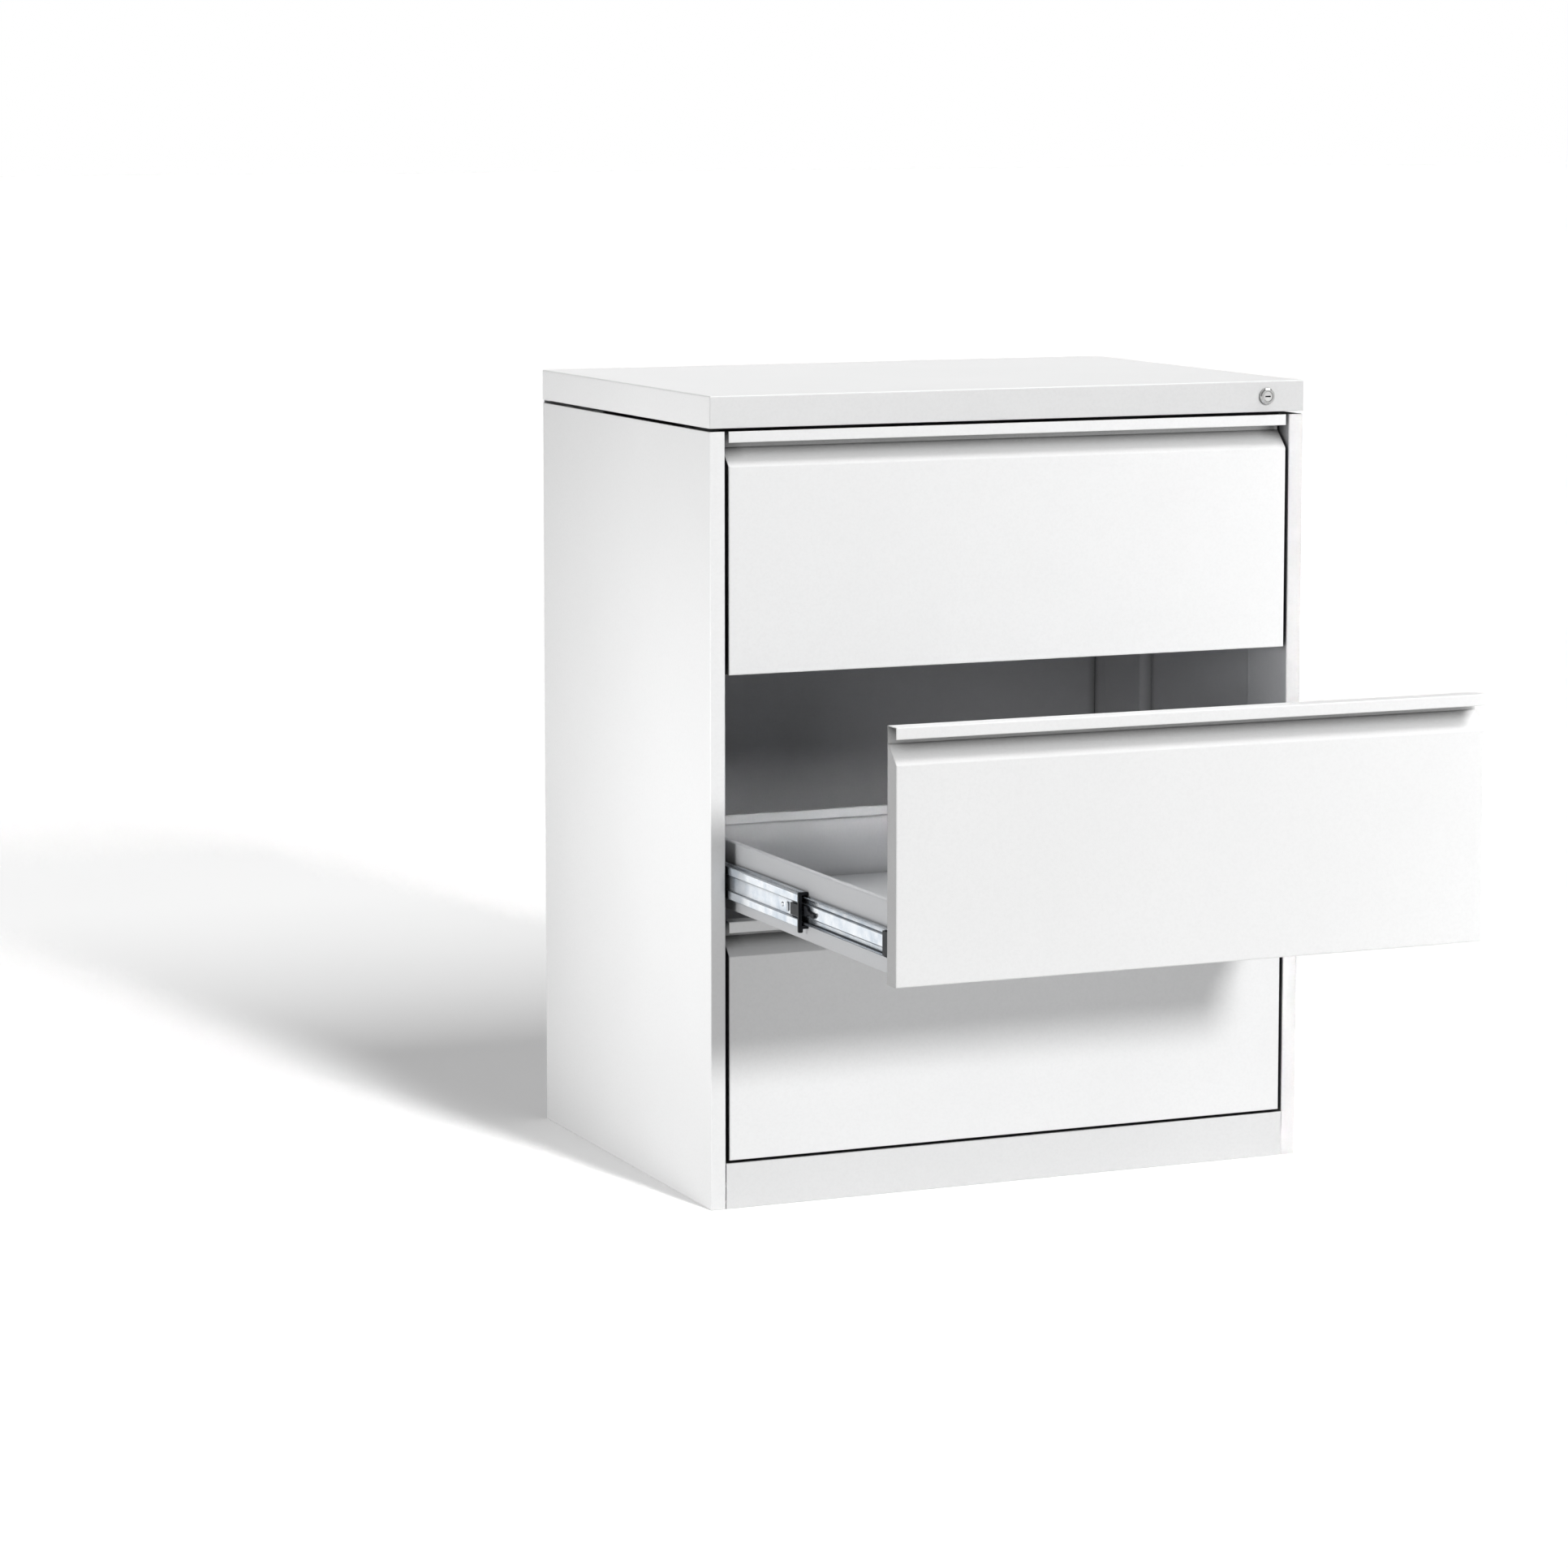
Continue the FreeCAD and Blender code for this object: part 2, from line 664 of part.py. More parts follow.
for index, name in enumerate(DRAWERS):
    for make in (make_front, make_liner, make_tray):
        place(make(name), along=drawer_y(name), up=drawer_bottom(index))
    place(
        make_catch(name), TRAY_HALF, f"{drawer_y(name)} + catch_setback",
        f"{drawer_bottom(index)} + catch_lift",
    )


# Section of a strip of even thickness that follows straight runs and round bends
def strip_face(start, moves, thickness):
    here = Vector(start, 0, 0)
    heading = math.pi / 2
    edges = {1: [], -1: []}

    def beside(spot, angle, hand):
        return spot + Vector(-math.sin(angle), 0, math.cos(angle)) * (hand * thickness / 2)

    def turned(spot, angle, radius, turn):
        hand = math.copysign(1, turn)
        centre = spot + Vector(-math.sin(angle), 0, math.cos(angle)) * (hand * radius)
        later = angle + turn
        return centre - Vector(-math.sin(later), 0, math.cos(later)) * (hand * radius)

    first = (here, heading)
    for radius, amount in moves:
        if radius is None:
            after = here + Vector(math.cos(heading), 0, math.sin(heading)) * amount
            for hand, side_edges in edges.items():
                ends = (beside(here, heading, hand), beside(after, heading, hand))
                side_edges.append(Part.LineSegment(*ends).toShape())
        else:
            turn = math.radians(amount)
            halfway = turned(here, heading, radius, turn / 2)
            after = turned(here, heading, radius, turn)
            for hand, side_edges in edges.items():
                arc = Part.Arc(
                    beside(here, heading, hand),
                    beside(halfway, heading + turn / 2, hand),
                    beside(after, heading + turn, hand),
                )
                side_edges.append(arc.toShape())
            heading += turn
        here = after
    ends = [
        Part.LineSegment(beside(*last, 1), beside(*last, -1)).toShape()
        for last in (first, (here, heading))
    ]
    wire = Part.Wire(Part.__sortEdges__(edges[1] + edges[-1] + ends))
    return Part.Face(wire)


def rolled_member(start, moves, thickness, length):
    """Rolled strip, the same above and below its middle, drawn out along +Y."""
    upper = strip_face(start, moves, thickness).extrude(Vector(0, length, 0))
    lower = upper.mirror(Vector(0, 0, 0), Vector(0, 0, 1))
    return upper.fuse(lower).removeSplitter()


# Slide sections: ball rows at (outer_x, outer_z) and (inner_x, inner_z) from the post's face
strip = size("strip_thickness")
race = size(RACE_RADIUS)
lean = math.radians(size("race_lean"))
crest = size("crest_radius")
offset = size("race_offset")
ball = size("ball_radius")
intermediate_web = strip + size("retainer_gap") + strip / 2
outer_x = intermediate_web + offset
outer_z = size("slide_height") / 2 - strip / 2 - race
inner_x = outer_x + 2 * race * math.cos(lean)
inner_z = outer_z - 2 * race * math.sin(lean)
# Angle at which a web's crest runs into the groove under a ball row
groove = math.acos((offset - crest) / (race + crest))
groove_turn = 180 - math.degrees(groove) - size("race_lean")
length = size("slide_length")


def crest_height(row_z):
    """Height at which a web bends over into the groove under a ball row."""
    return row_z - (race + crest) * math.sin(groove)


def stepped_web(half, top, toward_post):
    """Runs of a web whose middle is pressed out of plane: a flat, a sloping step and a flat."""
    bend_radius = size("web_bend")
    slope = math.radians(size("web_slope"))
    run = (size("web_step") - 2 * bend_radius * (1 - math.cos(slope))) / math.sin(slope)
    rise = 2 * bend_radius * math.sin(slope) + run * math.cos(slope)
    turn = size("web_slope") if toward_post else -size("web_slope")
    return [
        (None, half),
        (bend_radius, turn),
        (None, run),
        (bend_radius, -turn),
        (None, top - half - rise),
    ]


corner = size("corner_radius")
web_step = size("web_step")
intermediate_half = size("intermediate_web_half")
CABINET_MEMBER = rolled_member(strip / 2, [
    (None, outer_z + race - corner),
    (corner, -90),
    (None, outer_x - strip / 2 - corner),
    (race, -size("cabinet_wrap")),
], strip, length)
INTERMEDIATE_MEMBER = rolled_member(intermediate_web + web_step, [
    *stepped_web(intermediate_half, crest_height(outer_z), True),
    (crest, math.degrees(groove) - 180),
    (race, groove_turn),
    (race, size("race_lean") - 90 - size("race_wrap")),
], strip, length)
DRAWER_MEMBER = rolled_member(size(SLIDE_THICKNESS) - strip / 2 - web_step, [
    *stepped_web(size("drawer_web_half"), crest_height(inner_z), False),
    (crest, 180 - math.degrees(groove)),
    (race, -groove_turn),
], strip, length)

bend = size("retainer_bend")
retainer = size("retainer_thickness")
RETAINER_LENGTH = "(slide_length * retainer_share)"
retainer_length = size(RETAINER_LENGTH)
outer_start = strip + size("retainer_gap") / 2
OUTER_RETAINER = rolled_member(outer_start, [
    (None, outer_z - bend),
    (bend, -90),
    (None, outer_x + size("retainer_reach") - outer_start - bend),
], retainer, retainer_length)
dip = math.radians(size("retainer_dip"))
sweep = race + strip / 2 + size("retainer_clear") + retainer / 2
inner_start = outer_x - sweep * math.cos(dip) - bend * (1 + math.cos(dip))
INNER_RETAINER = rolled_member(inner_start + web_step, [
    *stepped_web(intermediate_half, outer_z - (sweep + bend) * math.sin(dip), True),
    (bend, size("retainer_dip") - 180),
    (sweep, size("retainer_sweep")),
], retainer, retainer_length)


def with_balls(strip_solid, row_x, row_z):
    """Ball retainer with its two rows of balls."""
    count = int(size("balls_per_row"))
    first_y = size("retainer_margin")
    pitch = (retainer_length - 2 * first_y) / (count - 1)
    balls = [
        Part.makeSphere(ball, Vector(row_x, first_y + number * pitch, row))
        for number in range(count) for row in (row_z, -row_z)
    ]
    return strip_solid.multiFuse(balls)


def with_web_cuts(member):
    """Intermediate member with a notch for its plastic stop and access holes near its rear end."""
    overrun = size("cut_overrun")
    web_left = intermediate_web - strip / 2 - overrun
    depth = strip + web_step + 2 * overrun
    notch_height = size("stop_height")
    notch = Part.makeBox(
        depth, size("stop_length") + overrun, notch_height,
        Vector(web_left, -overrun, -notch_height / 2),
    )
    pitch = size("web_hole_pitch")
    count = int(size("web_hole_count"))
    first_y = length - size("web_hole_margin") - (count - 1) * pitch
    holes = [
        Part.makeCylinder(
            size("web_hole_radius"), depth,
            Vector(web_left, first_y + number * pitch, 0), Vector(1, 0, 0),
        )
        for number in range(count)
    ]
    return member.cut([notch] + holes)


def slide_piece(label, shape, sign, name, share, setback="0"):
    """Piece of one slide, made for the left side and mirrored for the right."""
    piece = doc.addObject("Part::Feature", label)
    piece.Label = label
    piece.Shape = shape if sign < 0 else shape.mirror(Vector(0, 0, 0), Vector(1, 0, 0))
    return seat_slide_piece(piece, sign, name, share, setback)


def seat_slide_piece(piece, sign, name, share, setback="0"):
    """Puts a slide's piece on its post, at its share of the drawer's travel."""
    place(
        piece, f"{sign} * {OPENING_HALF}",
        f"{drawer_y(name, share)} + slide_setback + {setback}",
        f"{drawer_bottom(DRAWERS.index(name))} + slide_lift",
    )
    return piece


# Slide stops: plastic plates round the drawer members, held by a block in each intermediate's notch
INTERMEDIATE_WEB = "(3 / 2 * strip_thickness + retainer_gap)"
INTERMEDIATE_FACE = f"({INTERMEDIATE_WEB} - strip_thickness / 2)"
STOP_FACE = f"({INTERMEDIATE_WEB} + strip_thickness / 2 + stop_depth)"
STOP_HALF = "(slide_height / 2 - strip_thickness - ball_radius)"
INNER_ROW = f"(slide_height / 2 - strip_thickness / 2 - {RACE_RADIUS} * (1 + 2 * sin(race_lean)))"


def make_stop(side, sign, name):
    body = new_body(f"slide_stop_{name}_{side}")
    far_edge = f"({SLIDE_THICKNESS} - 2 * stop_fit)"
    outline = [
        (INTERMEDIATE_FACE, STOP_HALF),
        (INTERMEDIATE_FACE, f"(-({STOP_HALF} + tab_drop))"),
        (f"({INTERMEDIATE_FACE} + tab_width)", f"(-({STOP_HALF} + tab_drop))"),
        (f"({INTERMEDIATE_FACE} + tab_width)", f"(-{STOP_HALF})"),
        (far_edge, f"(-{STOP_HALF})"),
        (far_edge, f"(-{INNER_ROW})"),
        (STOP_FACE, f"(-{INNER_ROW})"),
        (STOP_FACE, INNER_ROW),
        (far_edge, INNER_ROW),
        (far_edge, STOP_HALF),
    ]
    draw = draw_polygon(new_sketch(body, "XZ_Plane", "stop_plate"), [
        (f"{-sign} * {across}", up) for across, up in outline
    ])
    pad(body, draw, "stop_plate - stop_fit", back=True)
    round_edges(body, "stop_round", "y", lambda end: near(end.z, STOP_HALF) or near(
        end.z, f"-({STOP_HALF} + tab_drop)"))
    draw = draw_rectangle(
        new_sketch(body, "XZ_Plane", "stop_plate"),
        f"{-sign} * {INTERMEDIATE_FACE}", "-(stop_height / 2 - stop_fit)",
        f"{-sign} * {STOP_FACE}", "stop_height / 2 - stop_fit",
    )
    pad(body, draw, "stop_plate + stop_length - stop_fit", back=True)
    return seat_slide_piece(body, sign, name, intermediate_share)


# Slide end caps: plastic plugs in the front ends of the drawer members, with a flange and a tab
CHANNEL_HALF = (
    f"(slide_height / 2 - strip_thickness - 2 * {RACE_RADIUS} * (1 + sin(race_lean)) - stop_fit)"
)


def make_cap(side, sign, name):
    body = new_body(f"slide_cap_{name}_{side}")
    near_edge = f"({STOP_FACE} + stop_fit)"
    far_edge = f"({SLIDE_THICKNESS} - stop_fit)"
    outline = [
        (near_edge, "(cap_height / 2)"),
        (near_edge, "(-(cap_height / 2 + tab_drop))"),
        (f"({near_edge} + tab_width)", "(-(cap_height / 2 + tab_drop))"),
        (f"({near_edge} + tab_width)", "(-cap_height / 2)"),
        (far_edge, "(-cap_height / 2)"),
        (far_edge, "(cap_height / 2)"),
    ]
    flange_front = "(stop_plate + stop_fit + cap_flange)"
    draw = draw_polygon(new_sketch(body, "XZ_Plane", flange_front), [
        (f"{-sign} * {across}", up) for across, up in outline
    ])
    pad(body, draw, "cap_flange", back=True)
    round_edges(body, "stop_round", "y", lambda end: near(end.z, "cap_height / 2") or near(
        end.z, "-(cap_height / 2 + tab_drop)"))
    draw = draw_rectangle(
        new_sketch(body, "XZ_Plane", "stop_plate + stop_fit"),
        f"{-sign} * ({STOP_FACE} + stop_fit)", f"-{CHANNEL_HALF}",
        f"{-sign} * ({SLIDE_THICKNESS} - strip_thickness - web_step - stop_fit)", CHANNEL_HALF,
    )
    pad(body, draw, "cap_plug", back=True)
    return seat_slide_piece(body, sign, name, 1)


# Slides: three nested members a side, two ball retainers between them, stops and caps
intermediate_share = 1 / 2
outer_retainer_share = intermediate_share / 2
inner_retainer_share = (1 + intermediate_share) / 2
INTERMEDIATE_WITH_CUTS = with_web_cuts(INTERMEDIATE_MEMBER)
OUTER_WITH_BALLS = with_balls(OUTER_RETAINER, outer_x, outer_z)
INNER_WITH_BALLS = with_balls(INNER_RETAINER, inner_x, inner_z)
RETAINER_START = f"(slide_length - {RETAINER_LENGTH}) / 2"

for name in DRAWERS:
    pairs = {"stop": [], "cap": [], "outer": [], "inner": []}
    for side, sign in SIDES:
        nodes.append(slide_piece(
            f"slide_cabinet_{name}_{side}", CABINET_MEMBER, sign, name, 0))
        nodes.append(slide_piece(
            f"slide_intermediate_{name}_{side}", INTERMEDIATE_WITH_CUTS, sign, name, intermediate_share))
        nodes.append(slide_piece(
            f"slide_drawer_{name}_{side}", DRAWER_MEMBER, sign, name, 1))
        pairs["stop"].append(make_stop(side, sign, name))
        pairs["cap"].append(make_cap(side, sign, name))
        pairs["outer"].append(slide_piece(
            f"outer_retainer_{name}_{side}", OUTER_WITH_BALLS, sign, name,
            outer_retainer_share, RETAINER_START))
        pairs["inner"].append(slide_piece(
            f"inner_retainer_{name}_{side}", INNER_WITH_BALLS, sign, name,
            inner_retainer_share, RETAINER_START))
    group(f"slide_stops_{name}", pairs["stop"])
    group(f"slide_caps_{name}", pairs["cap"])
    group(f"outer_retainers_{name}", pairs["outer"])
    group(f"inner_retainers_{name}", pairs["inner"])

# Lock housing: turned shell with a bevelled bezel, seated on the cover's front
housing = new_body("lock_housing")
BORE = "(plug_diameter / 2 + lock_fit)"
draw = draw_polygon(new_sketch(housing, "XY_Plane"), [
    (BORE, "-bezel_height"),
    ("bezel_diameter / 2 - bezel_bevel", "-bezel_height"),
    ("bezel_diameter / 2", "-(bezel_height - bezel_bevel)"),
    ("bezel_diameter / 2", "0"),
    ("lock_body_diameter / 2", "0"),
    ("lock_body_diameter / 2", "lock_body_length"),
    (BORE, "lock_body_length"),
])
revolve(housing, draw, "Y_Axis")
place(housing, LOCK_X, FRONT_Y, LOCK_Z)

# Lock barrel: turned plug with a key slot in front and a square spigot behind
barrel = new_body("lock_barrel")
draw = draw_rectangle(
    new_sketch(barrel, "XY_Plane"),
    "0", "-(bezel_height - plug_sink)", "plug_diameter / 2", "lock_body_length",
)
revolve(barrel, draw, "Y_Axis")
draw = draw_rectangle(
    new_sketch(barrel, "XZ_Plane", "-lock_body_length"),
    "-spigot_width / 2", "-spigot_width / 2", "spigot_width / 2", "spigot_width / 2",
)
pad(barrel, draw, "cam_thickness", back=True)
# The slot lies level while the barrel stands at half its turn from the middle
SLOT_CORNERS = [(1, 1), (-1, 1), (-1, -1), (1, -1)]
draw = draw_polygon(new_sketch(barrel, "XZ_Plane", "bezel_height - plug_sink"), [
    (
        f"{wide} * key_width / 2 * cos(lock_turn / 2) + {high} * key_height / 2 * sin(lock_turn / 2)",
        f"{high} * key_height / 2 * cos(lock_turn / 2) - {wide} * key_width / 2 * sin(lock_turn / 2)",
    )
    for wide, high in SLOT_CORNERS
])
pocket(barrel, draw, "key_depth")
UNLOCKED = FreeCAD.Rotation(Vector(0, 1, 0), -size("lock_turn / 2"))
barrel.Placement.Rotation = UNLOCKED
place(barrel, LOCK_X, FRONT_Y, LOCK_Z)

# Lock cam: lever on the barrel's spigot with a pin that drives the lock bar
cam = new_body("lock_cam")
CAM_NOSE = "(cam_throw + cam_half_width)"
draw = draw_rectangle(
    new_sketch(cam, "XZ_Plane", "-lock_body_length"),
    "-cam_tail", "-cam_half_width", CAM_NOSE, "cam_half_width",
)
HOLE_HALF = "(spigot_width / 2 + lock_fit)"
draw_rectangle(draw, f"-{HOLE_HALF}", f"-{HOLE_HALF}", HOLE_HALF, HOLE_HALF)
pad(cam, draw, "cam_thickness", back=True)
round_edges(cam, "cam_round", "y", lambda end: near(abs(end.z), "cam_half_width"))
draw = draw_circle(
    new_sketch(cam, "XZ_Plane", "-(lock_body_length + cam_thickness)"),
    ("cam_throw", "0"), "cam_pin_diameter / 2",
)
pad(cam, draw, "cam_pin_length", back=True)
cam.Placement.Rotation = UNLOCKED
place(cam, LOCK_X, FRONT_Y, LOCK_Z)

# Lock bar: flat plate in the right post with an arm over the cam pin, and a finger a drawer
plate = new_body("lock_bar_plate")
PIN_Z = f"({LOCK_Z} + cam_throw * sin(lock_turn / 2))"
SLOT_X = f"({LOCK_X} + cam_throw * (1 + cos(lock_turn / 2)) / 2)"
SLOT_HALF = (
    "(cam_throw * (1 - cos(lock_turn / 2)) / 2 + cam_pin_diameter / 2 + cam_pin_play)"
)
SLOT_RISE = "(cam_pin_diameter / 2 + cam_pin_play)"
ARM_END = f"({SLOT_X} - {SLOT_HALF} - bar_arm_wall)"
outline = [
    (BAR_X, "bar_foot"),
    (f"{BAR_X} + bar_width", "bar_foot"),
    (f"{BAR_X} + bar_width", f"{PIN_Z} + {SLOT_RISE} + bar_arm_wall"),
    (ARM_END, f"{PIN_Z} + {SLOT_RISE} + bar_arm_wall"),
    (ARM_END, f"{PIN_Z} - {SLOT_RISE} - bar_arm_wall"),
    (BAR_X, f"{PIN_Z} - {SLOT_RISE} - bar_arm_wall"),
]
draw = draw_polygon(new_sketch(plate, "XZ_Plane", f"-{BAR_Y}"), outline)
draw_rectangle(
    draw, f"{SLOT_X} - {SLOT_HALF}", f"{PIN_Z} - {SLOT_RISE}",
    f"{SLOT_X} + {SLOT_HALF}", f"{PIN_Z} + {SLOT_RISE}",
)
pad(plate, draw, "bar_thickness", side="Symmetric")


def make_finger(index):
    body = new_body(f"lock_bar_finger_{index}")
    lower = f"({drawer_bottom(index)} + {FINGER_LIFT})"
    draw = draw_rectangle(
        new_sketch(body, "XZ_Plane", f"-{BAR_Y}"),
        f"{OPENING_HALF} - finger_reach", lower, BAR_X, f"{lower} + finger_height",
    )
    pad(body, draw, "bar_thickness", side="Symmetric")
    return body


group("lock_bar", [plate] + [make_finger(index) for index in range(len(DRAWERS))])


# Lock bar guides: plastic blocks in the post that the bar slides through
def make_guide(number, height):
    body = new_body(f"lock_bar_guide_{number}")
    half = "(bar_thickness / 2 + guide_fit)"
    sketch = new_sketch(body, "XY_Plane")
    draw_rectangle(
        sketch,
        f"{OPENING_HALF} + sheet_thickness", f"{BAR_Y} - {half} - guide_wall",
        f"{BAR_X} + bar_width + guide_fit + guide_wall", f"{BAR_Y} + {half} + guide_wall",
    )
    draw_rectangle(
        sketch, f"{BAR_X} - guide_fit", f"{BAR_Y} - {half}",
        f"{BAR_X} + bar_width + guide_fit", f"{BAR_Y} + {half}",
    )
    pad(body, sketch, "guide_height")
    place(body, up=height)
    return body


group("lock_bar_guides", [
    make_guide(index, f"{drawer_bottom(index)} + {FRONT_HEIGHT} / 2")
    for index in range(len(DRAWERS))
])

# Levelling feet: turned pads on studs, screwed up just clear of the floor
for number, (across, along) in enumerate(FOOT_PLACES, start=1):
    foot = new_body(f"levelling_foot_{number}")
    draw = draw_polygon(new_sketch(foot, "XZ_Plane"), [
        ("0", "0"),
        ("foot_radius - foot_chamfer", "0"),
        ("foot_radius", "foot_chamfer"),
        ("foot_radius", "foot_pad_height"),
        ("foot_stud_radius", "foot_pad_height"),
        ("foot_stud_radius", "foot_pad_height + foot_stud_length"),
        ("0", "foot_pad_height + foot_stud_length"),
    ])
    revolve(foot, draw, "Z_Axis")
    place(foot, across, along, "foot_clear")

# Every object has to be sound before anything is written
doc.recompute()
for item in doc.Objects:
    if {"Invalid", "Error"} & set(item.State):
        raise RuntimeError(f"{item.Label} failed: {item.State}")
os.makedirs("parts", exist_ok=True)
for node in nodes:
    if node.Shape.isNull() or not node.Shape.isValid():
        raise RuntimeError(f"{node.Label} has no valid shape")
for node in nodes:
    node.Shape.exportStep(os.path.join("parts", f"{node.Label}.step"))
print(f"{len(nodes)} nodes written")
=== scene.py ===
import bmesh
import bpy
import math
from mathutils import Matrix, Vector


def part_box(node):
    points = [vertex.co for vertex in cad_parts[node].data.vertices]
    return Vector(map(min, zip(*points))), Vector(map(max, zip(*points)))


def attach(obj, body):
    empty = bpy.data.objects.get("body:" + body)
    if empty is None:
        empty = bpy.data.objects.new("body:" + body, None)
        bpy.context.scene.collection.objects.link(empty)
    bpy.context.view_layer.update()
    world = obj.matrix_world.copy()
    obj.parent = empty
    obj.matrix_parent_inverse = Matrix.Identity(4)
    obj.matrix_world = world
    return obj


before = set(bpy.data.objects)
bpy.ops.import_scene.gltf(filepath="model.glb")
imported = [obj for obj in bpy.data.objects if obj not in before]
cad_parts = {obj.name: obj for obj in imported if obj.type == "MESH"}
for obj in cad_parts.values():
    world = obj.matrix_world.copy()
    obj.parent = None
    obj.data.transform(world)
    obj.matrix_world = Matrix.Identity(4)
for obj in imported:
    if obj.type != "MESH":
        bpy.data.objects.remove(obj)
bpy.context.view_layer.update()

# Carcass: side panels, plinth and inner sheets of folded 1 mm steel, welded together.
# The outside has a white powder coat with a fine grain; behind the stiles and on the inner sheets the colour is
# a painted grey, painted shade for the dark inside of the carcass.
# Sheet edges are rolled over, so the coat runs round every corner.
COAT_WHITE = (0.860, 0.861, 0.861)
COAT_WHITE_DEEP = (0.842, 0.843, 0.843)
# A painted grey that stands in for the shade inside the carcass.
INSIDE_SHADE_GREY = (0.640, 0.642, 0.655)
INSIDE_SHADE_GREY_DEEP = (0.610, 0.612, 0.625)
EDGE_ROLL = 0.0022
SPECK_SHADE = 0.95
MOTTLE_PER_METRE = 5
GRAIN_PER_METRE = 850
GLOSS_PER_METRE = 320
GRAIN_HEIGHT = 0.00022
# Painted shade: the dark that gaps and inside corners take, and its reach and shares of open view.
COAT_CREVICE_SHADE = (0.012, 0.012, 0.013)
SHEET_SHADE_GAPS = (0.028, 0.22, 0.66)
# Bounds of the painted grey: inside the side skins and behind the stile faces.
SKIN_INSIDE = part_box("side_panel_right")[1].x - 0.0006
STILE_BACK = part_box("side_panel_right")[0].y + 0.0018


def blank_material(name):
    """New material and its shader, node maker and linker."""
    material = bpy.data.materials.new(name)
    material.use_nodes = True
    tree = material.node_tree
    return material, tree.nodes["Principled BSDF"], tree.nodes.new, tree.links.new


def noise(add, join, where, scale, detail, roughness=0.5):
    """Noise texture in the piece's own metres."""
    texture = add("ShaderNodeTexNoise")
    texture.inputs["Scale"].default_value = scale
    texture.inputs["Detail"].default_value = detail
    texture.inputs["Roughness"].default_value = roughness
    join(where, texture.inputs["Vector"])
    return texture.outputs["Fac"]


def spread(add, join, value, low, high, start=0.3, end=0.7):
    """Value from a noise stretched over a range."""
    scale = add("ShaderNodeMapRange")
    scale.inputs["From Min"].default_value = start
    scale.inputs["From Max"].default_value = end
    scale.inputs["To Min"].default_value = low
    scale.inputs["To Max"].default_value = high
    join(value, scale.inputs["Value"])
    return scale.outputs["Result"]


def blend_colours(add, join, factor, first, second):
    """Mix of two colours, each a plain colour or the output of another node."""
    mix = add("ShaderNodeMix")
    mix.data_type = "RGBA"
    join(factor, mix.inputs["Factor"])
    for socket, colour in zip(("A", "B"), (first, second)):
        plug = next(i for i in mix.inputs if i.name == socket and i.type == "RGBA")
        if isinstance(colour, tuple):
            plug.default_value = (*colour, 1)
        else:
            join(colour, plug)
    return next(o for o in mix.outputs if o.type == "RGBA")


def raised(add, join, shader, height, depth, strength):
    """Bump on the shader from a height that runs from 0 to 1."""
    bump = add("ShaderNodeBump")
    bump.inputs["Strength"].default_value = strength
    bump.inputs["Distance"].default_value = depth
    join(height, bump.inputs["Height"])
    join(bump.outputs["Normal"], shader.inputs["Normal"])
    return bump


def painted_crevice_shade(add, join, colour, dark, gaps, above=None):
    """Colour with painted shade: it goes dark in gaps and inside corners, where little light gets in; gaps holds
    the reach and the shares of open view for full dark and for none. Below a height it stays as it is."""
    reach, closed, clear = gaps
    gap = add("ShaderNodeAmbientOcclusion")
    gap.samples = 4
    gap.inputs["Distance"].default_value = reach
    view = spread(add, join, gap.outputs["AO"], 0, 1, closed, clear)
    if above:
        low = spread(add, join, above, 1, 0, 0.030, 0.045)
        more = add("ShaderNodeMath")
        more.operation = "MAXIMUM"
        join(view, more.inputs[0])
        join(low, more.inputs[1])
        view = more.outputs[0]
    return blend_colours(add, join, view, dark, colour)


